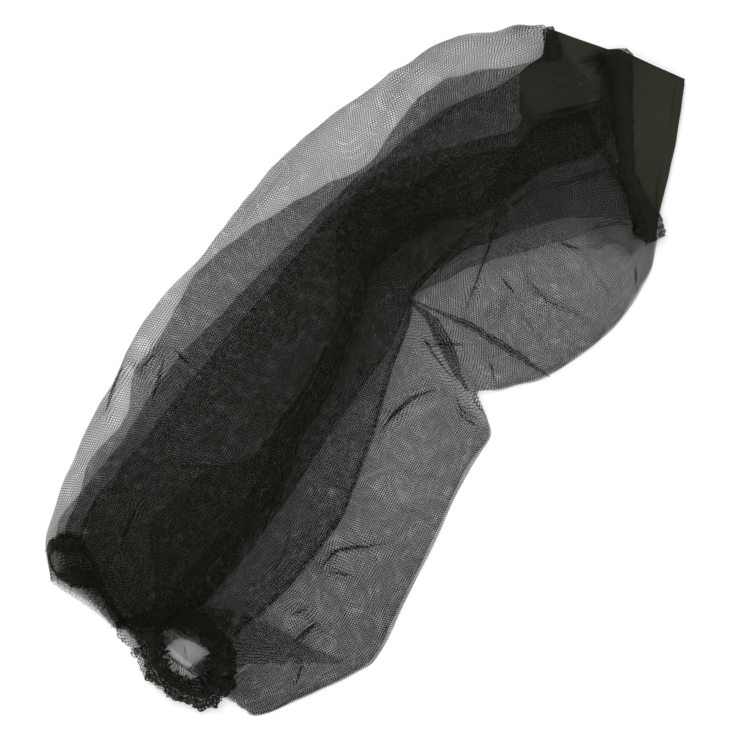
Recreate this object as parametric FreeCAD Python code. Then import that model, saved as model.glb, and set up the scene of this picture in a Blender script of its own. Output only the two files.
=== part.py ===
"""Beekeeping hat veil, lying folded flat on a table as it is stored.

The veil is a tube of net. One end is gathered to a woven cloth yoke that is
worn on the shoulders. The other end is gathered on an elastic that grips the
crown of a hat. Millimetres, +Z up, +X along the veil towards the yoke. The
origin is on the table, under the middle of the whole veil.
"""
import FreeCAD, Part
import math
import os

os.makedirs("parts", exist_ok=True)
V = FreeCAD.Vector

# Driving dimensions: cloth and net
NET_WALL = 2.0          # each wall of the folded net bag
NET_EDGE = 8.0          # height of the bag along its folded rim
NET_SINK = 1.0          # the bag is made this much too low, then trimmed flat
CLOTH = 1.6             # yoke cloth with its nap and ripples
SEAM_WIDTH = 6.0        # side seam of the net
SEAM_PROUD = 1.2        # how far that seam stands on the net

# Driving dimensions: the gathered hat opening
RING_CENTRE = (-298.0, -46.0)
LOOP_END = (-298.0, 82.0)
RING_RADIUS = 27.5      # open loop of the elastic, to its middle
RUN_OFFSET = 10.0       # half the distance between the two closed runs
NECK_RADIUS = 15.0      # bend from the open loop into a run
CASING_RADIUS = 6.5
CASING_BORE = 4.0
ELASTIC_WIDTH = 6.0
ELASTIC_THICK = 1.2
NET_GAP = 0.3           # between the casing and the net around it

# Driving dimensions: the yoke and its gathered seam
SEAM_LINE = [(324.0, 4.0), (248.0, -69.0), (222.0, -124.0)]
SEAM_TOPS = [18.0, 15.0, 10.0]
HEM_LINE = [(342.0, -55.0), (296.0, -84.0), (243.0, -111.0)]
TONGUE = [(300.0, 50.0), (262.0, 52.0), (232.0, 28.0), (249.0, 4.0), (280.0, -18.0)]
TONGUE_ROOT = 50.0      # how far along the seam the cloth is drawn into the net
TAPE_WIDTH = 8.0
TAPE_THICK = 3.0
HEM_TOP = 12.6          # outer face of the front panel at the hem
HEM_WIDTH = 12.0
HEM_THICK = 1.2
SIDE_SEAM_THICK = 2.0

# Driving dimensions: thread
THREAD = 0.4
STITCH = 3.0
STITCH_PITCH = 6.0

# The folded net bag, as cross-sections from the hat end to the yoke end:
# place along the veil, lowest and highest y, y of the thick core, height there
NET_STATIONS = [
    (-344.0, -52.0, -18.0, -35.0, 12.0),
    (-334.0, -84.0, 80.0, 0.0, 14.0),
    (-320.0, -100.0, 96.0, 0.0, 17.0),
    (-300.0, -128.0, 112.0, 0.0, 20.0),
    (-270.0, -143.0, 126.0, 0.0, 23.0),
    (-236.0, -160.0, 135.0, 0.0, 26.0),
    (-205.0, -170.0, 145.0, 5.0, 28.0),
    (-160.0, -161.0, 157.0, 15.0, 30.0),
    (-110.0, -149.0, 167.0, 30.0, 32.0),
    (-50.0, -133.0, 168.0, 45.0, 34.0),
    (0.0, -124.0, 169.0, 55.0, 34.0),
    (12.0, -118.0, 170.0, 58.0, 34.0),
    (25.0, -84.0, 170.0, 60.0, 34.0),
    (40.0, -105.0, 170.0, 60.0, 34.0),
    (65.0, -121.0, 169.0, 60.0, 34.0),
    (110.0, -140.0, 162.0, 50.0, 32.0),
    (150.0, -146.0, 150.0, 35.0, 30.0),
    (190.0, -140.0, 140.0, 20.0, 28.0),
    (222.0, -126.0, 130.0, 10.0, 26.0),
    (250.0, -118.0, 116.0, 5.0, 24.0),
    (275.0, -105.0, 92.0, 0.0, 22.0),
    (301.0, -90.0, 66.0, 0.0, 20.0),
    (324.0, -80.0, 8.0, -20.0, 18.0),
]
CLOSED_END = 2          # stations at the hat end that hold no hollow

# Route of the net's side seam over the top of the bag
SIDE_SEAM = [(-222.0, -75.0), (-180.0, -69.0), (-126.0, -70.0), (-69.0, -54.0), (-8.0, -21.0),
             (60.0, 12.0), (130.0, 20.0), (200.0, 2.0), (256.0, -50.0)]


def core_shape(y, low, high, core):
    """Share of the core height at y: 0 at the rim, 1 at the core."""
    span = core - low if y < core else high - core
    return math.cos(0.5 * math.pi * (y - core) / span) ** 2


def net_section(station, inset):
    """Closed cross-section of the bag, its wall moved inwards by inset.

    Only the hollow has its own floor: every outer skin starts below the table.
    """
    x, low, high, core, height = station
    edge = NET_EDGE - 2 * inset
    turn = edge / 2
    low = low + inset
    high = high - inset
    y0 = low + turn
    y1 = high - turn
    top = []
    for step in range(-3, 4):
        share = step / 3.0
        y = core + share * ((core - y0) if share < 0 else (y1 - core))
        z = NET_EDGE - inset + (height - NET_EDGE) * core_shape(y, y0, y1, core)
        top.append(V(x, y, z))
    crown = Part.BSplineCurve()
    crown.interpolate(top)
    middle = inset + turn
    bottom = inset if inset > 0 else -NET_SINK
    floor = Part.LineSegment(V(x, y1, bottom), V(x, y0, bottom)).toShape()
    near = Part.Arc(V(x, y0, bottom), V(x, low, middle), top[0]).toShape()
    far = Part.Arc(top[-1], V(x, high, middle), V(x, y1, bottom)).toShape()
    return Part.Wire([near, crown.toShape(), far, floor])


def net_loft(stations, inset):
    """Solid through the cross-sections, with straight lines between them."""
    return Part.makeLoft([net_section(s, inset) for s in stations], True, True)


def net_top(x, y):
    """Height of the bag's upper face at a place inside its rim."""
    for a, b in zip(NET_STATIONS, NET_STATIONS[1:]):
        if a[0] <= x <= b[0]:
            t = (x - a[0]) / (b[0] - a[0])
            low, high, core, height = [p + t * (q - p) for p, q in zip(a[1:], b[1:])]
            rim = NET_EDGE / 2
            share = core_shape(y, low + rim, high - rim, core)
            return NET_EDGE + (height - NET_EDGE) * share
    raise ValueError("outside the bag: %s, %s" % (x, y))


def side_points(points, reach):
    """The points of a polyline, each moved sideways by reach (left is plus)."""
    moved = []
    for i, (x, y) in enumerate(points):
        x0, y0 = points[max(i - 1, 0)]
        x1, y1 = points[min(i + 1, len(points) - 1)]
        size = math.hypot(x1 - x0, y1 - y0)
        moved.append((x - reach * (y1 - y0) / size, y + reach * (x1 - x0) / size))
    return moved


def prism(points, bottom, top):
    """Upright solid over a closed outline."""
    corners = [V(x, y, bottom) for x, y in points]
    face = Part.Face(Part.makePolygon(corners + corners[:1]))
    return face.extrude(V(0, 0, top - bottom))


def ribbon(points, half):
    """Closed outline of a band that follows a polyline."""
    return side_points(points, half) + side_points(points, -half)[::-1]


def ribs(first, last, bottoms, tops):
    """Plate through upright ribs that join two polylines point by point.

    bottoms and tops each hold (height at first, height at last) per point.
    """
    wires = []
    for a, b, low, high in zip(first, last, bottoms, tops):
        corners = [V(a[0], a[1], low[0]), V(b[0], b[1], low[1]),
                   V(b[0], b[1], high[1]), V(a[0], a[1], high[0])]
        wires.append(Part.makePolygon(corners + corners[:1]))
    return Part.makeLoft(wires, True, True)


def towards(start, end, distance):
    """The point that lies distance from start on the way to end."""
    share = distance / math.dist(start, end)
    return tuple(p + share * (q - p) for p, q in zip(start, end))


def stitches(route):
    """Row of separate thread stitches along a list of (x, y, z) points."""
    rows = []
    spare = 0.0
    for start, end in zip(route, route[1:]):
        a, b = V(*start), V(*end)
        run = (b - a).Length
        way = (b - a) / run
        at = spare
        while at + STITCH <= run:
            rows.append(Part.makeCylinder(THREAD, STITCH, a + way * at, way))
            at += STITCH_PITCH
        spare = max(at - run, 0.0)
    return Part.makeCompound(rows)


def elastic_loop():
    """Middle line of the elastic: a round loop that closes into two runs."""
    ring = V(*RING_CENTRE, CASING_RADIUS)
    length = LOOP_END[1] - RING_CENTRE[1]
    hub = V(RUN_OFFSET + NECK_RADIUS, 0, 0)
    hub.y = math.sqrt((RING_RADIUS + NECK_RADIUS) ** 2 - hub.x ** 2)
    on_ring = hub * (RING_RADIUS / (RING_RADIUS + NECK_RADIUS))
    on_run = V(RUN_OFFSET, hub.y, 0)
    between = ((on_ring + on_run) * 0.5 - hub).normalize() * NECK_RADIUS + hub
    far = V(RUN_OFFSET, length, 0)

    def left(p):
        return ring + V(-p.x, p.y, 0)

    return [
        Part.LineSegment(ring + on_run, ring + far).toShape(),
        Part.Arc(ring + far, ring + V(0, length + RUN_OFFSET, 0), left(far)).toShape(),
        Part.LineSegment(left(far), left(on_run)).toShape(),
        Part.Arc(left(on_run), left(between), left(on_ring)).toShape(),
        Part.Arc(left(on_ring), ring - V(0, RING_RADIUS, 0), ring + on_ring).toShape(),
        Part.Arc(ring + on_ring, ring + between, ring + on_run).toShape(),
    ]


def loop_tube(radius):
    """Round rod all along the elastic's loop."""
    edges = elastic_loop()
    start = edges[0].Vertexes[0].Point
    section = Part.Wire(Part.makeCircle(radius, start, edges[0].tangentAt(0)))
    return Part.Wire(edges).makePipeShell([section], True, True)


def net_body():
    outer = net_loft(NET_STATIONS, 0.0)
    outer = outer.cut(Part.makeBox(1000, 1000, 2 * NET_SINK, V(-500, -500, -2 * NET_SINK)))
    hollow = net_loft(NET_STATIONS[CLOSED_END:], NET_WALL)
    body = outer.cut(hollow)
    start, bend, end = side_points(SEAM_LINE, -TAPE_WIDTH / 2)
    beyond = [towards(bend, start, 200.0), bend, towards(bend, end, 200.0), (500.0, -300.0)]
    body = body.cut(prism(beyond, -10.0, 60.0))
    return body.cut(hat_opening())


def hat_opening():
    """Upright space that the casing fills in the net, its own hole included."""
    reach = CASING_RADIUS + NET_GAP
    around = Part.Wire(elastic_loop()).makeOffset2D(reach)
    space = Part.Face(around).extrude(V(0, 0, 80))
    space.translate(V(0, 0, -20))
    return space


def net_side_seam():
    band = prism(ribbon(SIDE_SEAM, SEAM_WIDTH / 2), NET_EDGE, 60.0)
    skin = net_loft(NET_STATIONS, -SEAM_PROUD).cut(net_loft(NET_STATIONS, 0.0))
    return band.common(skin)


def side_seam_stitching():
    height = SEAM_PROUD + THREAD
    route = [(x, y, net_top(x, y) + height) for x, y in SIDE_SEAM]
    return stitches(route)


def elastic_casing():
    return loop_tube(CASING_RADIUS).cut(loop_tube(CASING_BORE))


def hat_elastic():
    flat = []
    middle = Part.Wire(elastic_loop())
    for reach in (ELASTIC_WIDTH / 2, -ELASTIC_WIDTH / 2):
        edge = middle.makeOffset2D(reach)
        flat.append(Part.Face(edge).extrude(V(0, 0, ELASTIC_THICK)))
    band = flat[0].cut(flat[1])
    band.translate(V(0, 0, -ELASTIC_THICK / 2))
    return band


def casing_stitching():
    lift = CASING_RADIUS + THREAD
    around = Part.Wire(elastic_loop()).discretize(Distance=STITCH_PITCH)
    return stitches([(p.x, p.y, p.z + lift) for p in around])


def gathered_seam_tape():
    line = SEAM_LINE
    left = side_points(line, TAPE_WIDTH / 2)
    right = side_points(line, -TAPE_WIDTH / 2)
    floor = [(0.0, 0.0)] * 3
    tape = ribs(left, right, floor, [(h,) * 2 for h in SEAM_TOPS])
    short = [towards(line[0], line[1], TAPE_THICK), line[1], towards(line[2], line[1], TAPE_THICK)]
    left = side_points(short, TAPE_WIDTH)
    right = side_points(short, -TAPE_WIDTH)
    mouth = ribs(left, right, [(TAPE_THICK,) * 2] * 3, [(h - TAPE_THICK,) * 2 for h in SEAM_TOPS])
    return tape.cut(mouth)


def gather_stitching():
    rows = []
    for reach in (-TAPE_WIDTH / 4, TAPE_WIDTH / 4):
        places = side_points(SEAM_LINE, reach)
        route = [(x, y, h + THREAD) for (x, y), h in zip(places, SEAM_TOPS)]
        rows.append(stitches(route))
    return Part.makeCompound(rows)


def yoke_seam_edge():
    """Where the yoke cloth meets the tape."""
    return side_points(SEAM_LINE, TAPE_WIDTH / 2)


def yoke_front_panel():
    hem = HEM_TOP - CLOTH
    bottoms = [(h - CLOTH, hem) for h in SEAM_TOPS]
    tops = [(h, HEM_TOP) for h in SEAM_TOPS]
    return ribs(yoke_seam_edge(), HEM_LINE, bottoms, tops)


def yoke_back_panel():
    edge = yoke_seam_edge()
    skirt = ribs(edge, HEM_LINE, [(TAPE_THICK, 0.0)] * 3, [(TAPE_THICK + CLOTH, CLOTH)] * 3)
    root = [towards(edge[0], edge[1], TONGUE_ROOT), edge[0]]
    tongue = prism(TONGUE + root, TAPE_THICK, TAPE_THICK + CLOTH)
    return skirt.fuse(tongue)


def panel_height(i, share, at_seam, at_hem):
    """Height on a panel's rib i, share of the way from the hem to the seam."""
    return at_hem + share * (at_seam[i] - at_hem)


def hem_strip(at_seam, at_hem, low, high):
    """Turned edge of one panel, from low to high above the panel's heights."""
    inner = []
    bottoms = []
    tops = []
    for i, (seam, hem) in enumerate(zip(yoke_seam_edge(), HEM_LINE)):
        inner.append(towards(hem, seam, HEM_WIDTH))
        start = panel_height(i, HEM_WIDTH / math.dist(hem, seam), at_seam, at_hem)
        bottoms.append((start + low, at_hem + low))
        tops.append((start + high, at_hem + high))
    return ribs(inner, HEM_LINE, bottoms, tops)


def yoke_hem():
    front = hem_strip(SEAM_TOPS, HEM_TOP, -CLOTH - HEM_THICK, -CLOTH)
    back = hem_strip([TAPE_THICK] * 3, 0.0, CLOTH, CLOTH + HEM_THICK)
    return Part.makeCompound([front, back])


def hem_stitching():
    back = HEM_WIDTH * 0.8
    route = []
    for i, (seam, hem) in enumerate(zip(yoke_seam_edge(), HEM_LINE)):
        z = panel_height(i, back / math.dist(hem, seam), SEAM_TOPS, HEM_TOP)
        route.append((*towards(hem, seam, back), z + THREAD))
    return stitches(route)


def yoke_side_seams():
    seams = []
    for i, outwards in ((0, -1), (2, 1)):
        seam, hem = yoke_seam_edge()[i], HEM_LINE[i]
        corners = [V(*seam, 0.0), V(*hem, 0.0), V(*hem, HEM_TOP), V(*seam, SEAM_TOPS[i])]
        face = Part.Face(Part.makePolygon(corners + corners[:1]))
        way = V(hem[1] - seam[1], seam[0] - hem[0], 0.0).normalize()
        seams.append(face.extrude(way * outwards * SIDE_SEAM_THICK))
    return Part.makeCompound(seams)


PIECES = [net_body, net_side_seam, side_seam_stitching, hat_elastic, elastic_casing,
          casing_stitching, gathered_seam_tape, gather_stitching, yoke_front_panel,
          yoke_back_panel, yoke_side_seams, yoke_hem, hem_stitching]

whole = FreeCAD.BoundBox()
for piece in PIECES:
    shape = piece()
    whole.add(shape.BoundBox)
    shape.exportStep("parts/%s.step" % piece.__name__)
    print(piece.__name__, shape.isValid(), len(shape.Solids), "solids",
          round(shape.Volume / 1000, 2), "cm3")
print("box", [round(v, 2) for v in (whole.XMin, whole.XMax, whole.YMin, whole.YMax,
                                    whole.ZMin, whole.ZMax)])
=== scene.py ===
# %% [markdown]
# # A beekeeper's hat veil, folded flat on a table
# The veil is a long tube of black net. One end is gathered on an elastic that
# grips the crown of a hat, and the other is gathered into a cloth yoke that is
# worn on the shoulders. This lesson builds it lying folded on a table.
#
# Net is mostly holes, so how dark it looks is a matter of how many layers lie
# on each other. The folds therefore come first, and everything else follows.

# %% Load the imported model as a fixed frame
import math

import bpy
import numpy as np
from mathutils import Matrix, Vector


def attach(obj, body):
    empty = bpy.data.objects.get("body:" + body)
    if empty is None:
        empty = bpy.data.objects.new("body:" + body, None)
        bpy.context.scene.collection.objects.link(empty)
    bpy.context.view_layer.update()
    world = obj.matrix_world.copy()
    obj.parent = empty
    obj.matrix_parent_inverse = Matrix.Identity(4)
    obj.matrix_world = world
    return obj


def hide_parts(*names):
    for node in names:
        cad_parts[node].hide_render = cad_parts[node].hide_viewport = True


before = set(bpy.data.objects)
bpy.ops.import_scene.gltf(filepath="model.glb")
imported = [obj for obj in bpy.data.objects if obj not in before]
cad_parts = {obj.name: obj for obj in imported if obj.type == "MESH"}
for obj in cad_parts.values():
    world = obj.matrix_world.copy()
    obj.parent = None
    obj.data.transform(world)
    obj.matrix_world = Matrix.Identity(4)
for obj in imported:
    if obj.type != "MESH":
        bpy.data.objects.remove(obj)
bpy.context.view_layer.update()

MM = 0.001
LOWEST = 0.4            # mm above the table; nothing comes nearer to it
HIGHEST = 33.5          # mm above the table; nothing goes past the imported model

# %% [markdown]
# ## Camera and light
# The veil is looked at from straight above. The camera is turned about its own
# axis, so that the yoke points up and to the right. A long lens keeps the
# thick middle of the bundle from looking bigger than its rim.
#
# Black net needs a white table that is lit evenly, because most of what shows
# is the table through the holes. A white sky does nearly all of it, and one
# large lamp adds a direction, so that folds have a light and a dark side.

# %% Camera and light
VIEW_WIDTH = 638 * MM
LENS = 85.0
TURN = 50.0             # degrees about the camera's own axis
CENTRE = (-18 * MM, -15 * MM)
LAMP_PLACE = (0.3, 0.9, 1.9)    # metres
LAMP_SIZE = 1.6                 # metres across
LAMP_POWER = 12.0               # watts
SKY_STRENGTH = 1.05
NET_LAYERS_SEEN = 40            # how many net surfaces one ray of light may pass

scene = bpy.context.scene
scene.view_settings.view_transform = "Standard"
scene.cycles.transparent_max_bounces = NET_LAYERS_SEEN

camera_data = bpy.data.cameras.new("camera")
camera_data.lens = LENS
distance = VIEW_WIDTH * LENS / camera_data.sensor_width
camera = bpy.data.objects.new("camera", camera_data)
camera.location = (*CENTRE, distance)
camera.rotation_euler = (0, 0, -math.radians(TURN))
scene.collection.objects.link(camera)
scene.camera = camera

world = bpy.data.worlds.new("white_sky")
world.use_nodes = True
sky = world.node_tree.nodes["Background"]
sky.inputs["Color"].default_value = (1, 1, 1, 1)
sky.inputs["Strength"].default_value = SKY_STRENGTH
scene.world = world

lamp_data = bpy.data.lights.new("soft_lamp", "AREA")
lamp_data.shape = "DISK"
lamp_data.size = LAMP_SIZE
lamp_data.energy = LAMP_POWER
lamp = bpy.data.objects.new("soft_lamp", lamp_data)
lamp.location = LAMP_PLACE
lamp.rotation_euler = (Vector((0, 0, 0)) - lamp.location).to_track_quat("-Z", "Y").to_euler()
scene.collection.objects.link(lamp)
print("camera is", round(distance, 2), "m above the table")

# %% [markdown]
# ## Small helpers
# Everything soft here starts as a few given points. `soften` blurs a
# row of numbers, which rounds corners the way cloth does. `curve_through` turns
# given points into a smooth line. `ripple` is a sum of slow waves that
# look random but are the same on every run.

# %% Helpers for soft shapes
FINE_STEPS = 400        # a curve is worked out at so many steps, then thinned
WAVES = 7               # slow waves in one ripple


def soften(values, reach, axis=0, closed=False):
    """Blurs values along one axis; reach is in steps."""
    half = max(1, int(3 * reach))
    steps = np.arange(-half, half + 1)
    weights = np.exp(-0.5 * (steps / reach) ** 2)
    weights /= weights.sum()
    values = np.moveaxis(np.asarray(values, float), axis, 0)
    count = len(values)
    places = np.arange(-half, count + half)
    if closed:
        wide = values[places % count]
    else:
        inside = np.clip(places, 0, count - 1)
        mirrored = np.clip(2 * inside - places, 0, count - 1)
        wide = 2 * values[inside] - values[mirrored]
    blurred = sum(w * wide[half + k:half + k + count] for k, w in zip(steps, weights))
    return np.moveaxis(blurred, 0, axis)


def run_along(points):
    """Distance travelled at each point of a path."""
    steps = np.linalg.norm(np.diff(points, axis=0), axis=1)
    return np.concatenate([[0], np.cumsum(steps)])


def unit(vectors):
    """The same directions, each one long."""
    return vectors / np.linalg.norm(vectors, axis=1)[:, None]


def read_at(places, run, line):
    """The columns of a line, read at places along its run."""
    return np.stack([np.interp(places, run, column) for column in line.T], axis=-1)


def curve_through(points, share, soft):
    """Smooth line near the points, read at shares of its run along the first axis."""
    points = np.array(points, float)
    fine = np.linspace(0, 1, FINE_STEPS + 1)
    run = points[0, 0] + fine * (points[-1, 0] - points[0, 0])
    line = read_at(run, points[:, 0], points)
    line[:, 1:] = soften(line[:, 1:], soft * FINE_STEPS)
    return read_at(share, fine, line)


def path_through(points, count, soft=0.02):
    """Smooth path near the points, evenly spaced, free to turn any way."""
    points = np.array(points, float)
    run = run_along(points)
    line = read_at(np.linspace(0, run[-1], FINE_STEPS + 1), run, points)
    line = soften(line, soft * FINE_STEPS)
    run = run_along(line)
    return read_at(np.linspace(0, run[-1], count), run, line)


def ripple(x, y, size, seed):
    """Gentle waves between about -1 and 1; size is their length."""
    rng = np.random.default_rng(seed)
    total = 0.0
    for _ in range(WAVES):
        way = rng.uniform(0, 2 * math.pi)
        length = size * rng.uniform(0.6, 1.8)
        phase = rng.uniform(0, 2 * math.pi)
        along = x * math.cos(way) + y * math.sin(way)
        total = total + np.sin(2 * math.pi * along / length + phase)
    return total / (WAVES / 2)


def within(x, y, corners, grow):
    """True inside a grown outline with no hollows, whose corners go clockwise."""
    middle = np.mean(corners, axis=0)
    corners = middle + grow * (np.array(corners, float) - middle)
    found = np.ones(x.shape, bool)
    for (x0, y0), (x1, y1) in zip(corners, np.roll(corners, -1, axis=0)):
        found &= (x1 - x0) * (y - y0) < (y1 - y0) * (x - x0)
    return found


def grid_faces(rows, columns, closed=False):
    """Quads of a grid of points; closed joins the last column to the first."""
    faces = []
    for i in range(rows - 1):
        for j in range(columns if closed else columns - 1):
            k = (j + 1) % columns
            here, above = i * columns, (i + 1) * columns
            faces.append((here + j, here + k, above + k, above + j))
    return faces


def between(first, second, t):
    """Points ruled from one path to another, at shares t of the way."""
    return first[:, None, :] * (1 - t)[None, :, None] + second[:, None, :] * t[None, :, None]


def flat_cut(run, over):
    """Flat-cut places in metres, from the run along a piece and across it in mm."""
    return np.stack(np.broadcast_arrays(run, over), axis=-1).reshape(-1, 2) * MM


def make_piece(name, points, flat, material=None, full=None, faces=None):
    """Piece from points in mm; its flat cut is kept as UVs, and net has a fullness."""
    points = np.asarray(points)
    mesh = bpy.data.meshes.new(name)
    mesh.from_pydata((points.reshape(-1, 3) * MM).tolist(), [],
                     faces or grid_faces(*points.shape[:2]))
    corners = np.empty(len(mesh.loops), int)
    mesh.loops.foreach_get("vertex_index", corners)
    mesh.uv_layers.new(name="flat_cut").data.foreach_set("uv", flat[corners].ravel())
    if full is not None:
        full = np.broadcast_to(full, points.shape[:2]).ravel()
        mesh.attributes.new("fullness", "FLOAT", "POINT").data.foreach_set("value", full)
    if material is not None:
        mesh.materials.append(material)
    mesh.polygons.foreach_set("use_smooth", np.ones(len(mesh.polygons), bool))
    mesh.update()
    piece = bpy.data.objects.new(name, mesh)
    scene.collection.objects.link(piece)
    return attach(piece, "root")


print("helpers for soft shapes are ready")

# %% [markdown]
# ## The fold lines of the net
# The tube is flattened and its slack is folded over several times. Each fold
# runs the whole length, from the hat end to the yoke. A fold line is a short
# list of (x, y) places in millimetres. Going round the tube, the net runs from
# each fold to the next, so the order of the lines is the order of the layers,
# lowest first.

# %% Fold lines, lowest layer first
RIM_BACK = [
    (-328, 84), (-306, 109), (-265, 127), (-217, 142), (-157, 157), (-114, 165), (-76, 167),
    (-33, 164), (18, 167), (58, 166), (94, 162), (126, 156), (156, 148), (197, 138), (234, 125),
    (250, 116), (274, 94), (286, 85), (295, 78), (302, 66),
]
RIM_FRONT = [
    (-306, -122), (-299, -129), (-270, -143), (-236, -160), (-209, -171), (-189, -169),
    (-158, -160), (-121, -151), (-84, -142), (-62, -135), (-25, -127), (5, -124), (12, -118),
    (19, -100), (25, -83), (36, -102), (62, -120), (81, -131), (121, -142), (151, -145),
    (182, -141), (203, -135), (217, -126), (223, -123),
]
SECOND_BACK = [
    (-322, 78), (-300, 106), (-283, 115), (-255, 114), (-236, 126), (-214, 127), (-195, 124),
    (-172, 129), (-158, 141), (-142, 149), (-118, 147), (-85, 154), (-50, 160), (0, 152),
    (50, 135), (84, 121), (110, 107), (125, 105), (150, 110), (185, 111), (215, 103), (240, 82),
    (263, 62), (290, 44),
]
THIRD_BACK = [
    (-310, 84), (-285, 107), (-250, 116), (-200, 116), (-150, 124), (-110, 126), (-60, 121),
    (0, 116), (60, 112), (100, 107), (130, 98), (150, 98), (200, 86), (232, 68), (261, 57),
    (289, 41), (318, 18),
]
DENSE_BACK = [
    (-316, 58), (-278, 96), (-250, 103), (-200, 102), (-150, 105), (-100, 105), (-50, 104),
    (0, 104), (60, 104), (100, 98), (130, 90), (150, 78), (175, 60), (195, 46), (220, 28),
    (245, 36), (280, 30), (320, 14),
]
DENSE_FRONT = [
    (-326, 16), (-290, -11), (-270, -31), (-250, -33), (-200, -33), (-150, -30), (-100, -23),
    (-50, -18), (0, -13), (35, -4), (52, 4), (80, 0), (110, -8), (150, -30), (190, -58),
    (208, -84), (228, -110),
]
CORE_FRONT = [
    (-280, -66), (-233, -74), (-205, -77), (-166, -77), (-129, -74), (-61, -51), (-1, -23),
    (31, -13), (52, 2), (99, -18), (123, -33), (156, -57), (193, -82), (206, -90), (225, -116),
]
STREAK_BACK = [
    (-322, 18), (-288, -9), (-266, 2), (-218, 1), (-160, 3), (-128, 12), (-100, 27), (-71, 23),
    (-30, 34), (0, 36), (50, 53), (80, 54), (110, 44), (150, 14), (200, 18), (230, 22), (250, 8),
    (280, 4), (322, 6),
]
STREAK_FRONT = [
    (-323, 14), (-288, -13), (-270, -30), (-250, -31), (-200, -26), (-150, -24), (-128, -15),
    (-100, -4), (-50, 4), (0, 19), (50, 39), (80, 36), (110, 28), (150, -6), (200, -14),
    (225, -30), (240, -42), (280, -40),
]
MIDDLE_BACK = [
    (-320, 18), (-285, 0), (-262, 25), (-235, 56), (-200, 50), (-170, 48), (-140, 22), (-100, 22),
    (-50, 27), (0, 45), (30, 70), (55, 92), (85, 96), (110, 78), (130, 62), (160, 58), (185, 40),
    (205, 20), (230, 18), (260, 8), (318, 12),
]

FOLDS = [
    # fold line, and how many mm this fold lies further back than it
    (RIM_BACK, 2),
    (RIM_FRONT, -3),
    (THIRD_BACK, 0),
    (DENSE_FRONT, 0),
    (DENSE_BACK, 0),
    (RIM_FRONT, -1),
    (SECOND_BACK, 0),
    (CORE_FRONT, 0),
    (STREAK_BACK, 0),
    (STREAK_FRONT, 0),
    (MIDDLE_BACK, 0),
    (STREAK_FRONT, 3),
]

ROWS = 200              # rows of points from the hat end to the yoke
COLUMN_WIDTH = 2.4      # mm of net from one column of points to the next
share = np.linspace(0, 1, ROWS)
folds = [curve_through(points, share, 0.008) + [0, inset] for points, inset in FOLDS]
widths = [np.linalg.norm(folds[(k + 1) % len(folds)] - folds[k], axis=1).mean()
          for k in range(len(folds))]
print("layers:", len(folds), "- net round the tube, mm:", round(sum(widths)))

# %% [markdown]
# ## Layers between the folds
# Between two folds the net lies nearly flat, so each layer starts as a ruled
# surface: straight threads from one fold line to the next.
#
# The height of each layer is what lies under it. A height map of the table is
# raised a little every time a layer is laid down, and the next layer rests on
# the softened map. That gives the bundle its thick core and its thin, nearly
# flat rims, as gravity would.

# %% Lay the layers on each other
CELL = 5.0              # one step of the height map, mm
LAYER_GAP = 2.3         # room that one loose layer takes, mm
NEXT_SOFT = 1.6         # how softly a layer follows the one below, in map steps
LOOP_HEIGHT = 7.0       # the net lies over the shut part of the elastic loop
SHUT_LOOP_X = (-294, -278)
SHUT_LOOP_Y = (-12, 70)
CLOTH_ROOM = 2.0        # room for the yoke cloth that is drawn up inside the net
CLOTH_FIRST_X = 225     # where that cloth begins
CLOTH_BACK_Y = 60       # and how far back it reaches
CLOTH_TIP = (229, 20)   # its tip, from which its front edge slants away
CLOTH_SLANT = 0.77


def past_cloth_edge(x, y):
    """How far a place is past the slanting front edge of the drawn-up cloth, mm."""
    return y - CLOTH_TIP[1] + CLOTH_SLANT * (x - CLOTH_TIP[0])


def soften_map(height_map, reach):
    """Blurs a height map both ways; reach is in map steps."""
    return soften(soften(height_map, reach, 0), reach, 1)


def map_place(x, y):
    """Cell of the height map under a place in mm."""
    i = np.clip(((x - low_corner[0]) / CELL).astype(int), 0, map_size[0] - 1)
    j = np.clip(((y - low_corner[1]) / CELL).astype(int), 0, map_size[1] - 1)
    return i, j


layer_of, columns = [], []
for k, width in enumerate(widths):
    count = int(width / COLUMN_WIDTH)
    t = np.arange(count) / count
    columns.append(between(folds[k], folds[(k + 1) % len(folds)], t))
    layer_of += [k] * count
plan = np.concatenate(columns, axis=1)
layer_of = np.array(layer_of)

low_corner = plan.reshape(-1, 2).min(axis=0) - 4 * CELL
map_size = ((plan.reshape(-1, 2).max(axis=0) - low_corner) / CELL).astype(int) + 5
heights = np.zeros(map_size)
map_x = low_corner[0] + CELL * np.arange(map_size[0])[:, None]
map_y = low_corner[1] + CELL * np.arange(map_size[1])[None, :]
over_loop = (map_x > SHUT_LOOP_X[0]) & (map_x < SHUT_LOOP_X[1])
over_loop = over_loop & (map_y > SHUT_LOOP_Y[0]) & (map_y < SHUT_LOOP_Y[1])
heights[over_loop] = LOOP_HEIGHT
lift = np.zeros(plan.shape[:2])
for k in range(len(folds)):
    if k == len(folds) - 1:
        under_last = heights.copy()
        in_cloth = (map_x > CLOTH_FIRST_X) & (map_y < CLOTH_BACK_Y)
        in_cloth = in_cloth & (past_cloth_edge(map_x, map_y) > 0)
        heights[in_cloth] += CLOTH_ROOM
    mine = layer_of == k
    x, y = plan[:, mine, 0], plan[:, mine, 1]
    place = map_place(x, y)
    looseness = 1.0 + 0.5 * ripple(x, y, 160, 40 + k)
    level = soften_map(heights, NEXT_SOFT)[place] + LAYER_GAP * 0.5 * looseness
    lift[:, mine] = level
    np.maximum.at(heights, place, level + LAYER_GAP * 0.5)
lift += 1.2 * ripple(plan[..., 0], plan[..., 1], 70, 5)
print("height of the bundle, mm:", round(lift.max(), 1))

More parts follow.
